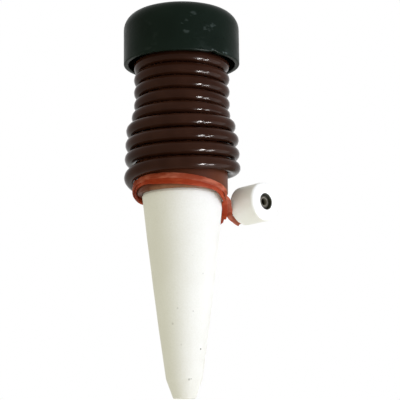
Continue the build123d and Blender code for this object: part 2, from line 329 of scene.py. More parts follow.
def route_point(turn):
    """Middle of the hose after this many turns down from its port, in mm."""
    angle = math.radians(90 - 360 * turn)
    level = ROUTE_TOP - UPPER_PITCH * turn
    level -= (LOWER_PITCH - UPPER_PITCH) * max(turn - PITCH_CHANGE_TURN, 0)
    lean = LEAN - LEAN_LOSS * ease((turn - LEAN_LOSS_TURN) / LEAN_LOSS_TURNS)
    level -= lean * math.cos(angle) * ease(turn / LEAN_IN_TURNS)
    side_lift = SIDE_LIFT + SIDE_LIFT_GAIN * ease((turn - SIDE_LIFT_TURN) / SIDE_LIFT_TURNS)
    level += side_lift * (1 + math.cos(2 * angle)) / 2
    radius = NECK_COIL_RADIUS + FLARE_STEP * ease((turn - FLARE_TURN) / FLARE_TURNS)
    radius += TAPER_STEP_PER_TURN * max(turn - TAPER_TURN, 0)
    level -= SAG * ease((turn - SAG_TURN) / (SAG_END_TURN - SAG_TURN))
    rest = TAIL_LEVEL - TAIL_SLOPE * TAIL_RADIUS * math.tau * (ROUTE_TURNS - turn)
    drop = ease((turn - DROP_TURN) / (ROUTE_TURNS - DROP_TURN))
    widen = ease((turn - DROP_TURN) / (DROP_WIDE_TURN - DROP_TURN))
    level += drop * (rest - level)
    radius += widen * (TAIL_RADIUS - radius)
    return Vector((radius * math.cos(angle), radius * math.sin(angle), level))


PORT_FACE = Vector((-4.968, 16.5, 134.562))
PORT_DIRECTION = Vector((0.9937, 0, -0.1125)).normalized()
PORT_LEAD = 2.2
TAIL_START = Vector((19.45, 11.62, 75.17))
TAIL_DIRECTION = Vector((0.689, -0.724, 0.034)).normalized()
TAIL_LEAD = 3.4
HOSE_REACH = 15.0

# The curve runs a little inside its control points, so they are set out by the same share.
swell = 1 / math.cos(math.pi / ROUTE_STEPS)
route = [PORT_FACE, PORT_FACE + PORT_DIRECTION * PORT_LEAD]
for step in range(1, int(ROUTE_TURNS * ROUTE_STEPS) + 1):
    point = route_point(step / ROUTE_STEPS)
    route.append(Vector((point.x * swell, point.y * swell, point.z)))
route += [TAIL_START - TAIL_DIRECTION * TAIL_LEAD, TAIL_START]
route += [TAIL_START + TAIL_DIRECTION * share * HOSE_REACH for share in (0.5, 1.0)]


def hose_curve(name, points, radius):
    """One smooth open line with a round section."""
    data = bpy.data.curves.new(name, "CURVE")
    data.dimensions = "3D"
    data.bevel_depth = radius * MM
    data.bevel_resolution = SECTION_DETAIL
    data.use_fill_caps = True
    spline = data.splines.new("NURBS")
    spline.points.add(len(points) - 1)
    for control, point in zip(spline.points, points):
        control.co = (*(point * MM), 1.0)
    spline.order_u = LINE_ORDER
    spline.use_endpoint_u = True
    spline.resolution_u = LINE_DETAIL
    return add_object(name, data)


def line_length(piece):
    """Length of a curve's own line in metres."""
    bare = piece.data.copy()
    bare.bevel_depth = 0
    probe = add_object("probe", bare)
    mesh = final_mesh(probe)
    total = sum(
        (mesh.vertices[edge.vertices[0]].co - mesh.vertices[edge.vertices[1]].co).length
        for edge in mesh.edges
    )
    bpy.data.meshes.remove(mesh)
    bpy.data.objects.remove(probe)
    bpy.data.curves.remove(bare)
    return total


hose = hose_curve("suction_hose", route, HOSE_RADIUS)
hose_length = line_length(hose)
print("hose", len(route), "points", round(hose_length, 4), "m")

# %% [markdown]
# The hose is soft rubbery vinyl: dark brown, glossy, with a faint cloudiness where hands
# have touched it. Gloss is a low roughness. The gloss is broken by a slow noise, and the
# surface rises and falls by a few hundredths of a millimetre, which bends the highlights
# a little as on any extruded tube. The specular level is kept low, because a white room
# is mirrored in the hose and would turn its brown into grey.

# %% Hose finish
VINYL = (0.026, 0.0085, 0.0042, 1)
CLOUDY_VINYL = (0.036, 0.0130, 0.0072, 1)

hose_finish = Finish("hose_vinyl", 0.12, 0.05)
hose_finish.colour(hose_finish.clouds(90, 4, 0.35, 0.7, VINYL, CLOUDY_VINYL))
hose_finish.roughness(hose_finish.remap(hose_finish.noise(260, 3), 0.3, 0.75, 0.09, 0.2))
hose_finish.bump(hose_finish.noise(180, 2), 0.05)
dress(hose, hose_finish, "spike_body")
print("hose finished")

# %% [markdown]
# Inside the weight the hose shows its cut end: a ring of wall round a dark bore. A solid
# curve has no bore, so the last few millimetres are a turned sleeve with a floor, set on
# the same line as the hose. The cut face near its middle is pale, and the rest of the
# sleeve, down the bore and inside the weight's hole, is painted dark as shade.

# %% Cut end of the hose
BORE_RADIUS = 1.5
SLEEVE_RADIUS = HOSE_RADIUS - 0.03
SLEEVE_START = HOSE_REACH - 1.5
BORE_FLOOR = HOSE_REACH - 1
CUT_REACH = 18.0
LIP_REACH = 2.4
CUT_SHADE = (0.020, 0.016, 0.010, 1)
CUT_PALE = (0.34, 0.31, 0.24, 1)


def along(start, direction):
    """A place whose Z runs in a direction from a start point given in mm."""
    turn = direction.to_track_quat("Z", "Y").to_matrix().to_4x4()
    return Matrix.Translation(start * MM) @ turn


tail_place = along(TAIL_START, TAIL_DIRECTION)
cut_outline = rounded([
    (0, SLEEVE_START, 0), (SLEEVE_RADIUS, SLEEVE_START, 0), (SLEEVE_RADIUS, CUT_REACH, 0.15),
    (BORE_RADIUS, CUT_REACH, 0.12), (BORE_RADIUS, BORE_FLOOR, 0), (0, BORE_FLOOR, 0),
])
hose_end = lathe("hose_cut_end", cut_outline, 48, tail_place)
end_finish = Finish("hose_cut", 0.45, 0.2)
lip = end_finish.spot(*(TAIL_START + TAIL_DIRECTION * CUT_REACH), LIP_REACH)
lip_mottle = end_finish.remap(end_finish.noise(900, 3), 0.3, 0.6, 0.6, 1.0)
# Pale on the cut face, and painted shade on the rest of the sleeve, in the bore and the hole.
end_finish.colour(end_finish.mix(end_finish.math("MULTIPLY", lip, lip_mottle), CUT_SHADE, CUT_PALE))
end_finish.bump(end_finish.noise(2400, 2), 0.04)
dress(hose_end, end_finish, "spike_body")
print("cut end", len(hose_end.data.polygons), "faces")

# %% [markdown]
# The cone is cast in porous ceramic and fired without a glaze, so that water can seep
# out. It is turned from one outline: flat tip, short bevel, long side with a faint belly,
# and a spigot that goes up into the collar. Slip-cast walls are never quite true, so a
# slow noise moves the surface in and out by a few hundredths of a millimetre.

# %% Ceramic spike
SPIKE_CORNERS = [
    (0, 0, 0), (4.3, 0, 0.5), (7.0, 7.4, 2.5), (9.47, 25.1, 0), (11.78, 42.9, 0),
    (13.92, 60.6, 0), (15.9, 78.2, 0.35), (15.6, 78.8, 0), (15.6, 91.8, 0.4),
    (12.6, 91.8, 0.3), (12.6, 78.8, 2), (10.92, 60.6, 0), (8.78, 42.9, 0),
    (6.47, 25.1, 0), (4.0, 10, 2), (1.8, 6, 1), (0, 6, 0),
]
WAVE_DEPTH = 0.05
WAVES_PER_MM = 0.09
LONG_SIDE = 6
SIDE_STEP = 3


def hand_cast(point):
    """Move a point of the cone's skin by a slow noise."""
    away = Vector((point.x, point.y, 0))
    if away.length < ON_AXIS:
        return point
    return point + away.normalized() * WAVE_DEPTH * noise.noise(point * WAVES_PER_MM)


def filled_in(points):
    """Add points along the long sides, so that the slow noise can bend them."""
    filled = []
    for here, after in zip(points, points[1:] + points[:1]):
        filled.append(here)
        is_long = abs(after.y - here.y) > LONG_SIDE
        parts = int((after - here).length // SIDE_STEP) if is_long else 1
        for part in range(1, parts):
            filled.append(here.lerp(after, part / parts))
    return filled


spike = lathe("spike", filled_in(rounded(SPIKE_CORNERS)), 144, shape=hand_cast)
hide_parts("ceramic_spike")
print("spike", len(spike.data.polygons), "faces")

# %% [markdown]
# Unglazed ceramic is the palest thing in the picture and yet not plain white. Its colour
# drifts between bone and cream, it scatters light from a rough grain, and a few dark
# specks of iron sit in the body of the clay. The biggest specks are listed one by one and
# the rest come from scattered cells, of which only a few are dark.

# %% Ceramic finish
# Each speck has its place across and up and its radius, in mm, and how dark it is.
SPECKS = [
    (-2.2, 33.7, 0.5, 0.24), (-4.1, 28.0, 0.6, 0.26), (-0.9, 20.1, 0.5, 0.18),
    (6.4, 18.5, 0.5, 0.95), (1.9, 7.1, 0.6, 0.5), (2.7, 7.3, 0.4, 0.45),
]
CELLS_PER_METRE = 260
SCATTERED_DARKNESS = 0.35
GRAIN_COLOUR = (0.66, 0.64, 0.57, 1)
SPECK_COLOUR = (0.20, 0.185, 0.15, 1)
BONE, CREAM = (0.85, 0.845, 0.815, 1), (0.80, 0.79, 0.75, 1)


def on_side(x, z):
    """A point on the cone's front side, its y found from the outline."""
    for (inner, low, _), (outer, high, _) in zip(SPIKE_CORNERS[1:6], SPIKE_CORNERS[2:7]):
        if low <= z <= high:
            reach = inner + (outer - inner) * (z - low) / (high - low)
            return x, -math.sqrt(reach * reach - x * x), z


def ceramic(name, specks, pale, deep, dirt=0.14):
    """Unglazed clay in two tones, with grain, a few scattered dots and placed specks."""
    finish = Finish(name, 0.82, 0.25)
    base = finish.clouds(38, 4, 0.3, 0.72, pale, deep)
    grain = finish.remap(finish.noise(1500, 5), 0.3, 0.75)
    base = finish.mix(finish.math("MULTIPLY", grain, dirt), base, GRAIN_COLOUR)
    cells = finish.nodes.new("ShaderNodeTexVoronoi")
    finish.plug(cells.inputs["Vector"], finish.place)
    cells.inputs["Scale"].default_value = CELLS_PER_METRE
    dot = finish.remap(cells.outputs["Distance"], 0.05, 0.11, 1.0, 0.0)
    split = finish.nodes.new("ShaderNodeSeparateColor")
    finish.plug(split.inputs[0], cells.outputs["Color"])
    rare = finish.remap(split.outputs[0], 0.93, 0.95)
    marks = finish.math("MULTIPLY", finish.math("MULTIPLY", dot, rare), SCATTERED_DARKNESS)
    for x, z, radius, darkness in specks:
        speck = finish.math("MULTIPLY", finish.spot(*on_side(x, z), radius), darkness)
        marks = finish.math("MAXIMUM", marks, speck)
    finish.colour(finish.mix(marks, base, SPECK_COLOUR))
    finish.roughness(finish.remap(finish.noise(500, 3), 0.3, 0.7, 0.74, 0.92))
    finish.bump(finish.noise(1300, 6), 0.05, 0.8)
    return finish


spike_finish = ceramic("spike_ceramic", SPECKS, BONE, CREAM)
dress(spike, spike_finish, "spike_body")
print("specks", len(SPECKS))

# %% [markdown]
# The weight is a thick ceramic bead with a hole through it. It keeps the hose's end at
# the bottom of the water can. It is turned like the cone, round the line of the hose, and
# its edges are well rounded, as pressed ceramic has to be. The hose ends a little inside
# its mouth, whose wall is painted dark as shade, and a shallow ring is pressed into its
# face. Its clay is whiter and smoother than the cone's, so the same finish is used with
# less dirt.

# %% Ceramic weight
WEIGHT_NEAR = 6.3
WEIGHT_FAR = 19.1
WEIGHT_RADIUS = 7.65
WEIGHT_MOUTH = 3.2
WEIGHT_BORE = 2.64
MOUTH_SHADE_DEPTH = 1.6
MOUTH_SHADE_REACH = 3.75
MOUTH_SHADE_COLOUR = (0.045, 0.045, 0.028, 1)
WHITE_CLAY, SHADED_CLAY = (0.94, 0.94, 0.93, 1), (0.90, 0.895, 0.88, 1)

weight_outline = rounded([
    (WEIGHT_MOUTH, WEIGHT_NEAR, 0.3), (WEIGHT_RADIUS, WEIGHT_NEAR, 1.1),
    (WEIGHT_RADIUS, WEIGHT_FAR, 1.5), (5.1, WEIGHT_FAR, 0.2), (4.8, WEIGHT_FAR - 0.15, 0.2),
    (4.5, WEIGHT_FAR, 0.2), (WEIGHT_MOUTH, WEIGHT_FAR, 0.3),
    (WEIGHT_MOUTH, WEIGHT_FAR - 2.4, 0.2), (WEIGHT_BORE, WEIGHT_FAR - 2.6, 0),
    (WEIGHT_BORE, WEIGHT_NEAR + 0.8, 0), (WEIGHT_MOUTH, WEIGHT_NEAR + 0.6, 0),
], 7)
weight = lathe("weight_bead", weight_outline, 96, tail_place)
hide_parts("hose_weight")
weight_finish = ceramic("weight_ceramic", [], WHITE_CLAY, SHADED_CLAY, 0.05)
weight_finish.shader.inputs["Specular IOR Level"].default_value = 0.4
# Painted shade inside the mouth: a dark spot round a point a little below the face.
mouth_shade_place = TAIL_START + TAIL_DIRECTION * (WEIGHT_FAR - MOUTH_SHADE_DEPTH)
mouth_shade = weight_finish.spot(*mouth_shade_place, MOUTH_SHADE_REACH, 0.93)
clay = weight_finish.shader.inputs["Base Color"].links[0].from_socket
weight_finish.colour(weight_finish.mix(mouth_shade, clay, MOUTH_SHADE_COLOUR))
weight_finish.roughness(weight_finish.remap(weight_finish.noise(300, 3), 0.3, 0.7, 0.42, 0.6))
dress(weight, weight_finish, "spike_body")
print("weight", len(weight.data.polygons), "faces")

# %% [markdown]
# The neck is one brown moulding: a collar that takes the spike's spigot, a flare, and a
# narrow neck that is filled through its mouth. A short elbow at the back ends in a barb
# that the hose is pushed on. The round body is turned, and the elbow is a small bent
# tube that sinks into it, so both can stay simple closed meshes.

# %% Neck moulding
NECK_CORNERS = [
    (15.75, 79.0, 0.2), (17.8, 79.0, 0.5), (17.8, 92.0, 1.5), (17.2, 101.0, 2.0),
    (13.85, 110.0, 2.0), (13.85, 148.5, 0.45), (11.4, 148.5, 0.45), (11.4, 93.8, 0.3),
    (15.75, 93.8, 0.3),
]
PORT_RADIUS = 2.5
PORT_ARM = 3.0
PORT_GAP = 0.05
PORT_BEND = 2.6
BEND_STEPS = 6
PORT_ROOT = (13.0, 12.0)

neck = lathe("neck_moulding", rounded(NECK_CORNERS), 120)
elbow = PORT_FACE - PORT_DIRECTION * PORT_ARM
bend_middle = elbow + PORT_DIRECTION * PORT_BEND + Vector((0, -PORT_BEND, 0))
bend = [PORT_FACE - PORT_DIRECTION * PORT_GAP]
for step in range(BEND_STEPS + 1):
    angle = math.radians(90 * step / BEND_STEPS)
    sideways = PORT_DIRECTION * PORT_BEND * math.sin(angle)
    bend.append(bend_middle - sideways + Vector((0, PORT_BEND * math.cos(angle), 0)))
bend += [Vector((elbow.x, depth, elbow.z)) for depth in PORT_ROOT]
port_line = hose_curve("side_port", bend, PORT_RADIUS)
port_mesh = final_mesh(port_line)
bpy.data.objects.remove(port_line)
port = add_object("side_port", port_mesh)
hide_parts("neck")
print("neck", len(neck.data.polygons), "faces, port", len(port_mesh.polygons))

# %% [markdown]
# Moulded plastic keeps the faint ripple of its mould and picks up fine scratches. The
# collar's brown is warmer and lighter than the hose, and it is only half glossy. Its lower
# edge is painted paler, partly as dust from the pot and partly as painted light from
# below; on the left that paleness is taken off again, as painted shade.

# %% Neck finish
DUST_AND_LIGHT_LEVELS = (79.4, 81.6)
SHADED_LEFT_SIDE = (-17.0, -7.0)
BROWN, PALE_BROWN = (0.096, 0.026, 0.011, 1), (0.126, 0.037, 0.017, 1)
DUST_AND_LIGHT_COLOUR = (0.27, 0.125, 0.070, 1)

neck_finish = Finish("neck_plastic", 0.36, 0.05)
brown = neck_finish.clouds(70, 4, 0.3, 0.7, BROWN, PALE_BROWN)
worn = neck_finish.remap(neck_finish.noise(400, 4), 0.2, 0.7, 0.65)
# Painted light mixed with dust along the lower edge, taken off on the left as painted shade.
dust_and_light = neck_finish.math("MULTIPLY", neck_finish.level(*DUST_AND_LIGHT_LEVELS), worn)
dust_and_light = neck_finish.math("SUBTRACT", dust_and_light, neck_finish.level(*SHADED_LEFT_SIDE, "X"))
neck_finish.colour(neck_finish.mix(dust_and_light, brown, DUST_AND_LIGHT_COLOUR))
scratch = neck_finish.noise(900, 4, neck_finish.stretched(1, 1, 0.15))
neck_finish.roughness(neck_finish.remap(scratch, 0.35, 0.7, 0.3, 0.44))
neck_finish.bump(neck_finish.noise(600, 3), 0.03)
dress(neck, neck_finish, "spike_body")
dress(port, neck_finish, "spike_body")
print("neck finished")

# %% [markdown]
# The cap is a deep green dome with a skirt that hangs over the first turn of hose, and an
# inner sleeve that carries the thread. Its rim was hurt once: a small flake hangs below
# the edge at the front right, beside a nick. The shell is turned from one outline, and the
# flake is made by moving the few rim points near it, which keeps the mesh closed.

# %% Screw cap
CAP_TOP = 152.6
CAP_CEILING = 150.6
CAP_RIM = 131.5
CAP_RADIUS = 23.1
SKIRT_INSIDE = 21.3
SLEEVE_OUTSIDE, SLEEVE_INSIDE, SLEEVE_RIM = 16.6, 14.85, 137.9
CAP_CORNERS = [
    (0, CAP_TOP, 0), (CAP_RADIUS, CAP_TOP, 6.9), (CAP_RADIUS, CAP_RIM, 0.5),
    (SKIRT_INSIDE, CAP_RIM, 0.4), (SKIRT_INSIDE, CAP_CEILING, 4.8),
    (SLEEVE_OUTSIDE, CAP_CEILING, 0), (SLEEVE_OUTSIDE, SLEEVE_RIM, 0.4),
    (SLEEVE_INSIDE, SLEEVE_RIM, 0.4), (SLEEVE_INSIDE, CAP_CEILING, 0), (0, CAP_CEILING, 0),
]

# Angles and widths of the damage are in degrees, and its heights in mm above the rim.
SKIRT_FROM = 20.5
RIM_ZONE = 2.2
RIM_FADE = 2.0
FLAKE_ANGLE = -55.5
FLAKE_SHIFT = 9
FLAKE_WIDTH = 7.0
FLAKE_DROP = 0.25
NICK_WIDTH = 3.2
NICK_DEPTH = 0.55
RIPPLE = 0.12
RIPPLES_PER_DEGREE = 0.35
RIM_RINGS = (0.9, 1.6, 2.6, 5.0)


def rim_damage(point):
    """Pull the rim down in one narrow place, and nick it beside."""
    reach = math.hypot(point.x, point.y)
    if reach < SKIRT_FROM or point.z > CAP_RIM + RIM_ZONE:
        return point
    angle = math.degrees(math.atan2(point.y, point.x))
    fade = ease((CAP_RIM + RIM_ZONE - point.z) / RIM_FADE)
    nick = math.exp(-(((angle - FLAKE_ANGLE) / NICK_WIDTH) ** 2))
    flake = math.exp(-(((angle - FLAKE_ANGLE - FLAKE_SHIFT) / FLAKE_WIDTH) ** 2))
    ripple = RIPPLE * noise.noise(Vector((angle * RIPPLES_PER_DEGREE, 0, 0)))
    rise = fade * (NICK_DEPTH * nick - FLAKE_DROP * flake + ripple * flake)
    return point + Vector((0, 0, rise))


cap_outline = rounded(CAP_CORNERS, 10)
cap_rings = []
for here, after in zip(cap_outline, cap_outline[1:] + cap_outline[:1]):
    cap_rings.append(here)
    is_upright = abs(here.x - after.x) < 0.1 and abs(here.y - after.y) > LONG_SIDE
    if is_upright and here.x > SKIRT_FROM:
        heights = sorted(RIM_RINGS, reverse=after.y < here.y)
        cap_rings += [Vector((here.x, CAP_RIM + height)) for height in heights]
cap = lathe("cap_shell", cap_rings, 240, shape=rim_damage)
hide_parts("screw_cap")
print("cap", len(cap.data.polygons), "faces")

# %% [markdown]
# The cap's plastic is nearly black until the light from the right catches it. It has the
# soft sheen of worn polyethylene, with pale scuffs where it has been gripped and set
# down. The scuffs are short patches of noise, squeezed so that they run in one direction.
# A few spots along the burr beside the nick are painted pale as a highlight, in the same
# mix as the scuffs.

# %% Cap finish
# Each scuff has its place on the front of the cap and its radius, in mm.
SCUFFS = [
    (1.7, -23.0, 142.2, 1.9), (2.3, -23.0, 139.2, 1.7), (10.2, -20.7, 140.2, 2.0),
    (12.6, -19.4, 141.8, 1.9), (4.9, -22.6, 145.6, 1.7),
]
BURR_HIGHLIGHTS = 5
BURR_START = FLAKE_ANGLE - 2
BURR_STEP = 4.2
BURR_HEIGHT = 0.3
BURR_RADIUS = 1.1
BURR_HIGHLIGHT_STRENGTH = 2.4
SCUFF_AND_HIGHLIGHT_SHARE = 0.34
SCUFF_AND_HIGHLIGHT_COLOUR = (0.075, 0.095, 0.090, 1)
GREEN, PALE_GREEN = (0.0049, 0.0094, 0.0064, 1), (0.0070, 0.0128, 0.0092, 1)

cap_finish = Finish("cap_plastic", 0.32, 0.03)
tone = cap_finish.clouds(60, 3, 0.3, 0.7, GREEN, PALE_GREEN)
streaks = cap_finish.noise(700, 6, cap_finish.stretched(0.45, 0.45, 1.1))
patch = cap_finish.math("MULTIPLY", cap_finish.remap(cap_finish.noise(75, 2), 0.56, 0.7), 0.3)
for scuff in SCUFFS:
    patch = cap_finish.math("MAXIMUM", patch, cap_finish.spot(*scuff))
# Painted highlight: pale spots along the burr at the rim, beside the nick.
for step in range(BURR_HIGHLIGHTS):
    angle = math.radians(BURR_START + BURR_STEP * step)
    place = (CAP_RADIUS * math.cos(angle), CAP_RADIUS * math.sin(angle), CAP_RIM + BURR_HEIGHT)
    burr_highlight = cap_finish.math("MULTIPLY", cap_finish.spot(*place, BURR_RADIUS), BURR_HIGHLIGHT_STRENGTH)
    patch = cap_finish.math("MAXIMUM", patch, burr_highlight)
scuffs_and_burr_highlight = cap_finish.math("MULTIPLY", cap_finish.remap(streaks, 0.47, 0.58), patch)
scuff_and_glint_share = cap_finish.math("MULTIPLY", scuffs_and_burr_highlight, SCUFF_AND_HIGHLIGHT_SHARE)
cap_finish.colour(cap_finish.mix(scuff_and_glint_share, tone, SCUFF_AND_HIGHLIGHT_COLOUR))
sheen = cap_finish.remap(cap_finish.noise(200, 4), 0.3, 0.7, 0.27, 0.36)
cap_finish.roughness(cap_finish.math("ADD", sheen, cap_finish.math("MULTIPLY", scuffs_and_burr_highlight, 0.15)))
grain = cap_finish.noise(700, 3)
cap_finish.bump(cap_finish.math("ADD", grain, cap_finish.math("MULTIPLY", scuffs_and_burr_highlight, 0.6)), 0.03)
dress(cap, cap_finish, "cap_body")
print("cap finished")

# %% [markdown]
# Cap and neck meet in a coarse thread. A thread repeats one rule, so a node tree makes
# it: a spiral line, a small round ridge run along it, thinner at both ends where the
# mould's cutter ran out. The same tree serves both pieces, with another radius, and the
# cap's ridge starts half a turn round, so that it lies in the groove of the neck's.

# %% Thread ridges by nodes
THREAD_PITCH = 4.0
THREAD_TURNS = 2.0
TURN_STEPS = 64
RIDGE_SIDES = 12
FADE_SHARE = 0.05
FADE_THICKNESS = 0.15
# Name, radius, ridge radius, start level, start angle, finish, body and slot of each.
THREADS = (
    ("neck_thread", 13.80, 0.72, 139.4, 0, neck_finish, "spike_body", "neck_plastic"),
    ("cap_thread", 14.92, 0.66, 139.3, 180, cap_finish, "cap_body", "cap_plastic"),
)


def thread_tree():
    """The node tree of a thread ridge, and its inputs' identifiers by name."""
    tree = bpy.data.node_groups.new("thread_ridge", "GeometryNodeTree")
    inputs = {}
    for name in ("Turns", "Pitch", "Radius", "Ridge", "Finish"):
        kind = "NodeSocketMaterial" if name == "Finish" else "NodeSocketFloat"
        inputs[name] = tree.interface.new_socket(name=name, in_out="INPUT", socket_type=kind)
    tree.interface.new_socket(name="Geometry", in_out="OUTPUT", socket_type="NodeSocketGeometry")
    source = tree.nodes.new("NodeGroupInput").outputs
    height = tree.nodes.new("ShaderNodeMath")
    height.operation = "MULTIPLY"
    tree.links.new(source["Turns"], height.inputs[0])
    tree.links.new(source["Pitch"], height.inputs[1])
    spiral = tree.nodes.new("GeometryNodeCurveSpiral")
    spiral.inputs["Resolution"].default_value = TURN_STEPS
    tree.links.new(source["Turns"], spiral.inputs["Rotations"])
    tree.links.new(source["Radius"], spiral.inputs["Start Radius"])
    tree.links.new(source["Radius"], spiral.inputs["End Radius"])
    tree.links.new(height.outputs[0], spiral.inputs["Height"])
    where = tree.nodes.new("GeometryNodeSplineParameter").outputs["Factor"]
    fade = tree.nodes.new("ShaderNodeMath")
    fade.operation = "PINGPONG"
    fade.inputs[1].default_value = 0.5
    tree.links.new(where, fade.inputs[0])
    taper = tree.nodes.new("ShaderNodeMapRange")
    taper.interpolation_type = "SMOOTHSTEP"
    taper.inputs["From Max"].default_value = FADE_SHARE
    taper.inputs["To Min"].default_value = FADE_THICKNESS
    tree.links.new(fade.outputs[0], taper.inputs["Value"])
    sized = tree.nodes.new("GeometryNodeSetCurveRadius")
    tree.links.new(spiral.outputs["Curve"], sized.inputs["Curve"])
    tree.links.new(taper.outputs["Result"], sized.inputs["Radius"])
    circle = tree.nodes.new("GeometryNodeCurvePrimitiveCircle")
    circle.inputs["Resolution"].default_value = RIDGE_SIDES
    tree.links.new(source["Ridge"], circle.inputs["Radius"])
    swept = tree.nodes.new("GeometryNodeCurveToMesh")
    swept.inputs["Fill Caps"].default_value = True
    tree.links.new(sized.outputs["Curve"], swept.inputs["Curve"])
    tree.links.new(circle.outputs["Curve"], swept.inputs["Profile Curve"])
    # A sweep that has a scale socket takes its thickness there, and not from the radius.
    if "Scale" in swept.inputs:
        tree.links.new(taper.outputs["Result"], swept.inputs["Scale"])
    real = tree.nodes.new("GeometryNodeRealizeInstances")
    tree.links.new(swept.outputs["Mesh"], real.inputs["Geometry"])
    coated = tree.nodes.new("GeometryNodeSetMaterial")
    tree.links.new(real.outputs["Geometry"], coated.inputs["Geometry"])
    tree.links.new(source["Finish"], coated.inputs["Material"])
    result = tree.nodes.new("NodeGroupOutput")
    tree.links.new(coated.outputs["Geometry"], result.inputs["Geometry"])
    return tree, {name: item.identifier for name, item in inputs.items()}


def bake(name, tree, names, values, place):
    """Run a node tree once and keep its result as a plain closed mesh."""
    holder = add_object(name + "_holder", bpy.data.meshes.new(name + "_holder"))
    modifier = holder.modifiers.new("nodes", "NODES")
    modifier.node_group = tree
    for key, value in values.items():
        modifier[names[key]] = value
    holder.update_tag()
    mesh = final_mesh(holder)
    holder.modifiers.clear()
    bpy.data.objects.remove(holder)
    mesh.transform(place)
    work = bmesh.new()
    work.from_mesh(mesh)
    mesh.name = name
    return add_object(name, close_mesh(work, mesh))


thread, thread_names = thread_tree()
for name, radius, ridge, level, turn, finish, body, slot in THREADS:
    start_turn = Matrix.Rotation(math.radians(turn), 4, "Z")
    place = Matrix.Translation((0, 0, level * MM)) @ start_turn
    values = {
        "Turns": THREAD_TURNS,
        "Pitch": THREAD_PITCH * MM,
        "Radius": radius * MM,
        "Ridge": ridge * MM,
        "Finish": finish.material,
    }
    piece = dress(bake(name, thread, thread_names, values, place), finish, body)
    corners = (piece.bound_box[0], piece.bound_box[6])
    box = [tuple(round(value / MM, 1) for value in corner) for corner in corners]
    print(name, len(piece.data.polygons), "faces", box)

# %% [markdown]
# The rubber band is the brightest thing on the object. It goes twice round the collar,
# high at the front and low at the back, then one strand dips round the hose behind the
# weight and the other hugs the cone. A band has a flat section that keeps its broad side
# to whatever it presses on, so each strand is a strip swept along listed points, with
# its flat side turned to the middle of the object.

# %% Rubber band helpers
BAND_WIDTH = 2.2
BAND_THICKNESS = 0.8
BAND_EDGE_SHARE = 0.35
WEAR_SHARE = 0.1
WEAR_PER_MM = 0.5


def smooth_loop(points, parts):
    """Points along a closed smooth line through the given ones."""
    count = len(points)
    dense = []
    for index in range(count):
        a, b, c, d = (Vector(points[(index + shift) % count]) for shift in (-1, 0, 1, 2))
        for part in range(parts):
            t = part / parts
            straight = 2 * b + (c - a) * t
            bent = (2 * a - 5 * b + 4 * c - d) * t * t
            twisted = (3 * b - a - 3 * c + d) * t ** 3
            dense.append(0.5 * (straight + bent + twisted))
    return dense


def strip(name, points, outward, width, thickness):
    """Sweep a rounded flat section along a closed line of points in mm."""
    edge = thickness * BAND_EDGE_SHARE
    section = rounded([
        (-thickness / 2, -width / 2, edge), (thickness / 2, -width / 2, edge),
        (thickness / 2, width / 2, edge), (-thickness / 2, width / 2, edge),
    ], 3)
    work = bmesh.new()
    rings = []
    count = len(points)
    for index, point in enumerate(points):
        ahead = (points[(index + 1) % count] - points[index - 1]).normalized()
        out = outward[index] - ahead * outward[index].dot(ahead)
        out.normalize()
        up = ahead.cross(out)
        worn = 1 + WEAR_SHARE * noise.noise(point * WEAR_PER_MM)
        ring = [point + out * spot.x * worn + up * spot.y * worn for spot in section]
        rings.append([work.verts.new(place * MM) for place in ring])
    for low, high in zip(rings, rings[1:] + rings[:1]):
        for side in range(len(section)):
            following = (side + 1) % len(section)
            work.faces.new((low[side], low[following], high[following], high[side]))
    return add_object(name, close_mesh(work, bpy.data.meshes.new(name)))


print("band helpers ready")

# %% Rubber band
# Each row is an angle, a radius and a level in mm. A word says which way the broad side
# looks where it isn't straight outwards.
UPPER_STRAND = [
    (180, 19.4, 81.0), (195, 19.2, 82.5), (205, 19.0, 83.0), (215, 18.9, 83.4),
    (227, 18.7, 83.8), (235, 18.6, 83.7), (250, 18.5, 83.65), (270, 18.5, 83.2),
    (290, 18.5, 82.3), (305, 18.5, 81.4), (316, 18.6, 80.6), (326, 18.6, 79.7),
    (335, 18.4, 78.4, "lit"), (343, 17.65, 76.9, "lit"), (350, 18.0, 75.8, "dark"),
    (357, 18.1, 74.2, "dark"), (5, 18.45, 72.5, "front"), (12, 18.9, 71.0, "front"),
    (17, 20.9, 70.0, "front"), (21.5, 23.4, 69.1, "front"), (27, 25.6, 69.6, "hose"),
    (33, 26.6, 71.8, "hose"), (41, 26.4, 75.4, "hose"), (50, 25.6, 78.2, "hose"),
    (64, 23.8, 79.9, "hose"), (84, 21.0, 80.5, "hose"), (106, 19.2, 79.7),
    (130, 18.9, 78.6), (150, 19.2, 78.3), (165, 19.5, 79.5),
]
LOWER_STRAND = [
    (180, 18.5, 80.2), (195, 18.4, 81.6), (205, 18.4, 82.0), (215, 18.4, 82.3),
    (227, 18.4, 82.2), (235, 18.4, 81.8), (250, 18.4, 81.5), (270, 18.4, 81.1),
    (290, 18.4, 80.4), (305, 18.4, 79.9), (315, 18.4, 79.2), (326, 18.0, 77.9),
    (339, 17.2, 76.1, "lit"), (352, 16.5, 74.2, "front"), (4, 16.5, 72.2, "front"),
    (13, 16.4, 70.5, "front"), (22, 16.2, 69.5), (45, 16.2, 68.6), (75, 16.1, 70.4),
    (100, 16.6, 73.4), (122, 17.4, 76.0), (142, 18.1, 77.4), (160, 18.4, 78.6),
]
STEPS_PER_ROW = 8
AXIS_SETBACK = 6
SIDES = {
    "front": Vector((0, -1, 0)),
    "lit": Vector((0.1, -0.9, 0.45)),
    "dark": Vector((0.3, -0.8, -0.55)),
}


def ring_point(angle, radius, level):
    """A place round the spike's axis, in mm."""
    turn = math.radians(angle)
    return Vector((radius * math.cos(turn), radius * math.sin(turn), level))


hose_axis_start = TAIL_START - TAIL_DIRECTION * AXIS_SETBACK


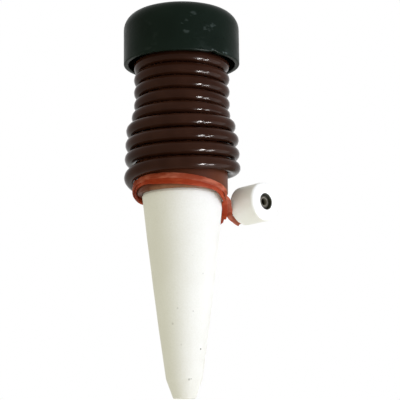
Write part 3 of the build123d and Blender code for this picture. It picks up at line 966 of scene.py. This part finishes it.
def facing(point, side=""):
    """Where the band's broad side looks: outwards, away from the hose or a named way."""
    ahead = point - hose_axis_start
    nearest = hose_axis_start + TAIL_DIRECTION * ahead.dot(TAIL_DIRECTION)
    outwards = Vector((point.x, point.y, 0))
    return SIDES.get(side, point - nearest if side == "hose" else outwards).normalized()


strands = []
for name, table in (("band_upper", UPPER_STRAND), ("band_lower", LOWER_STRAND)):
    line = smooth_loop([ring_point(*row[:3]) for row in table], STEPS_PER_ROW)
    looks = [facing(ring_point(*row[:3]), *row[3:]) for row in table]
    strand = strip(name, line, smooth_loop(looks, STEPS_PER_ROW), BAND_WIDTH, BAND_THICKNESS)
    strands.append(strand)
    print(name, len(strand.data.polygons), "faces")
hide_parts("rubber_band")

# %% [markdown]
# Old natural rubber is matt and a little chalky on top. It lets some light in, which is
# why the thin edge of the band glows. A weak subsurface share gives that, and a noise
# drawn out round the band gives the dusty bloom. The lower strand is a darker copy of
# the same rubber, as painted shade, and round the left side the bloom is taken off and
# the red deepened, also as painted shade.

# %% Band finish
BAND_LEFT_SHADE_SIDE = (-19.0, -16.0)
BAND_SHADE_RED = (0.17, 0.024, 0.008, 1)
UPPER_RED, UPPER_BLOOM = (0.28, 0.046, 0.017, 1), (0.46, 0.125, 0.070, 1)
LOWER_SHADED_RED, LOWER_SHADED_BLOOM = (0.29, 0.032, 0.008, 1), (0.39, 0.064, 0.022, 1)
LIGHT_DEPTHS = (0.002, 0.0006, 0.0004)


def rubber(name, red, bloom, left_shade_share):
    """Matt rubber with a dusty bloom, and on the left a painted shade that takes off the bloom.
    """
    finish = Finish(name, 0.5, 0.05)
    dust = finish.noise(320, 5, finish.stretched(0.5, 0.5, 1.6))
    dust = finish.remap(dust, 0.38, 0.66)
    # Painted shade on the left: the bloom is taken off and the red deepened.
    left_shade = finish.math("MULTIPLY", finish.level(*BAND_LEFT_SHADE_SIDE, "X"), left_shade_share)
    tone = finish.mix(finish.math("SUBTRACT", dust, left_shade), red, bloom)
    finish.colour(finish.mix(left_shade, tone, BAND_SHADE_RED))
    finish.shader.inputs["Subsurface Weight"].default_value = 0.15
    finish.shader.inputs["Subsurface Radius"].default_value = LIGHT_DEPTHS
    finish.shader.inputs["Subsurface Scale"].default_value = 0.5
    finish.roughness(finish.remap(finish.noise(500, 4), 0.3, 0.7, 0.45, 0.65))
    finish.bump(finish.noise(1200, 4, finish.stretched(0.4, 0.4, 1.5)), 0.05)
    return finish


upper_finish = rubber("band_rubber", UPPER_RED, UPPER_BLOOM, 0.4)
# The lower strand is a darker copy of the same rubber, as painted shade.
shaded_lower_finish = rubber("band_rubber_deep", LOWER_SHADED_RED, LOWER_SHADED_BLOOM, 1.0)
dress(strands[0], upper_finish, "spike_body")
dress(strands[1], shaded_lower_finish, "spike_body")
print("band finished")

# %% [markdown]
# Two seals are hidden inside: a ring between the spigot and the neck, and a disc under
# the cap. Their measured shapes are right as they are, so they only get a finish.

# %% Seals
SEAL_BLACK, SEAL_GREY = (0.020, 0.020, 0.021, 1), (0.036, 0.035, 0.035, 1)

seal_finish = Finish("seal_rubber", 0.6, 0.3)
seal_finish.colour(seal_finish.clouds(200, 4, 0.3, 0.7, SEAL_BLACK, SEAL_GREY))
seal_finish.roughness(seal_finish.remap(seal_finish.noise(600, 3), 0.3, 0.7, 0.5, 0.7))
seal_finish.bump(seal_finish.noise(1500, 4), 0.03)
for node in ("joint_seal", "cap_seal"):
    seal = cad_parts[node]
    seal.data.materials.clear()
    seal.data.materials.append(seal_finish.material)
    print("seal", node)

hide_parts("hose_winding", "hose_tail")

# %% [markdown]
# The light is that of a white room with windows low on the right. Each turn of the hose
# shows two of them as two small bright spots on its lower right side, and the pale ceramic
# goes from warm shade on the left to near white on the right. One lamp can't do both, so
# the work is shared: three panes are seen in gloss alone, and two soft sheets light the
# surfaces and stay out of the gloss. The world's even fill does the rest.
# The backdrop is white without adding any light. A switch on the kind of ray shows plain
# white to the camera, to gloss and through glass, and the room's fill to everything else.
# The ground lies far below, because the photograph looks up from under the spike.

# %% Stage and lights
# Places and sizes are in metres, and power is in watts.
AIM = Vector((0, 0, 0.085))
PANE_DISTANCE = 0.5
WHITE = (1, 1, 1)
ROOM_BLUE = (0.69, 0.74, 1.0)
WINDOW_DIRECTION = Vector((0.65, -0.43, -0.63)).normalized()
SIDE_STEP_DIRECTION = WINDOW_DIRECTION.cross(Vector((0, 0, 1))).normalized()
GLINTS = (
    ("window_far", WINDOW_DIRECTION, -0.099, 0.05, 0.19, 4.2),
    ("window_near", WINDOW_DIRECTION, 0.054, 0.055, 0.19, 8.4),
    ("doorway", Vector((0.76, 0.0, -0.65)), 0, 0.42, 0.6, 2.4),
)
SOFT_SHEETS = (
    ("room_right", Vector((0.22, -0.15, 0.03)), 0.2, 0.50, ROOM_BLUE),
    ("sheet_below", Vector((0.2, -0.1, -0.6)), 0.5, 0.75, WHITE),
)


def pane(name, place, width, height, watts, colour):
    """A rectangular lamp that faces the object."""
    data = bpy.data.lights.new(name, "AREA")
    data.shape = "RECTANGLE"
    data.size = width
    data.size_y = height
    data.energy = watts
    data.color = colour
    lamp = add_object(name, data)
    turn = (place - AIM).to_track_quat("Z", "Y").to_matrix().to_4x4()
    lamp.matrix_world = Matrix.Translation(place) @ turn
    return lamp


for name, direction, shift, width, height, watts in GLINTS:
    place = AIM + direction * PANE_DISTANCE + SIDE_STEP_DIRECTION * shift
    pane(name, place, width, height, watts, WHITE).visible_diffuse = False
for name, place, size, watts, colour in SOFT_SHEETS:
    pane(name, AIM + place, size, size, watts, colour).visible_glossy = False


def backdrop_switch(tree):
    """1 for rays that show the backdrop: from the camera, off gloss or through glass."""
    ray = tree.nodes.new("ShaderNodeLightPath")
    total = ray.outputs["Is Camera Ray"]
    for name in ("Is Glossy Ray", "Is Transmission Ray"):
        larger = tree.nodes.new("ShaderNodeMath")
        larger.operation = "MAXIMUM"
        tree.links.new(total, larger.inputs[0])
        tree.links.new(ray.outputs[name], larger.inputs[1])
        total = larger.outputs[0]
    return total


ROOM_FILL, ROOM_STRENGTH = (1.0, 0.985, 0.81, 1), 0.74
BACKDROP_WHITE, BACKDROP_STRENGTH = (1, 1, 1, 1), 1.0

world = bpy.data.worlds.new("room")
bpy.context.scene.world = world
world.use_nodes = True
sky = world.node_tree
blend = sky.nodes.new("ShaderNodeMixShader")
sky.links.new(backdrop_switch(sky), blend.inputs[0])
for socket, colour, strength in (
    (1, ROOM_FILL, ROOM_STRENGTH), (2, BACKDROP_WHITE, BACKDROP_STRENGTH)
):
    shade = sky.nodes.new("ShaderNodeBackground")
    shade.inputs["Color"].default_value = colour
    shade.inputs["Strength"].default_value = strength
    sky.links.new(shade.outputs[0], blend.inputs[socket])
sky.links.new(blend.outputs[0], sky.nodes["World Output"].inputs["Surface"])

# The ground is a pale disc with a little glow, which only rays that show the backdrop see.
GROUND_RADIUS = 5.0
GROUND_LEVEL = -0.8
GROUND_SIDES = 96
GROUND_COLOUR = (0.85, 0.85, 0.84, 1)
GROUND_GLOW, GLOW_STRENGTH = (0.80, 0.84, 1.0, 1), 0.42

rim = []
for side in range(GROUND_SIDES):
    angle = math.tau * side / GROUND_SIDES
    rim.append((GROUND_RADIUS * math.cos(angle), GROUND_RADIUS * math.sin(angle), GROUND_LEVEL))
ground_mesh = bpy.data.meshes.new("ground")
ground_mesh.from_pydata(rim, [], [range(GROUND_SIDES)])
ground = add_object("ground", ground_mesh)
ground_finish = Finish("pale_ground", 0.9, 0.1)
ground_finish.colour(GROUND_COLOUR)
sight = backdrop_switch(ground_finish.material.node_tree)
glow = ground_finish.math("MULTIPLY", sight, GLOW_STRENGTH)
ground_finish.plug(ground_finish.shader.inputs["Emission Strength"], glow)
ground_finish.shader.inputs["Emission Color"].default_value = GROUND_GLOW
ground.data.materials.append(ground_finish.material)
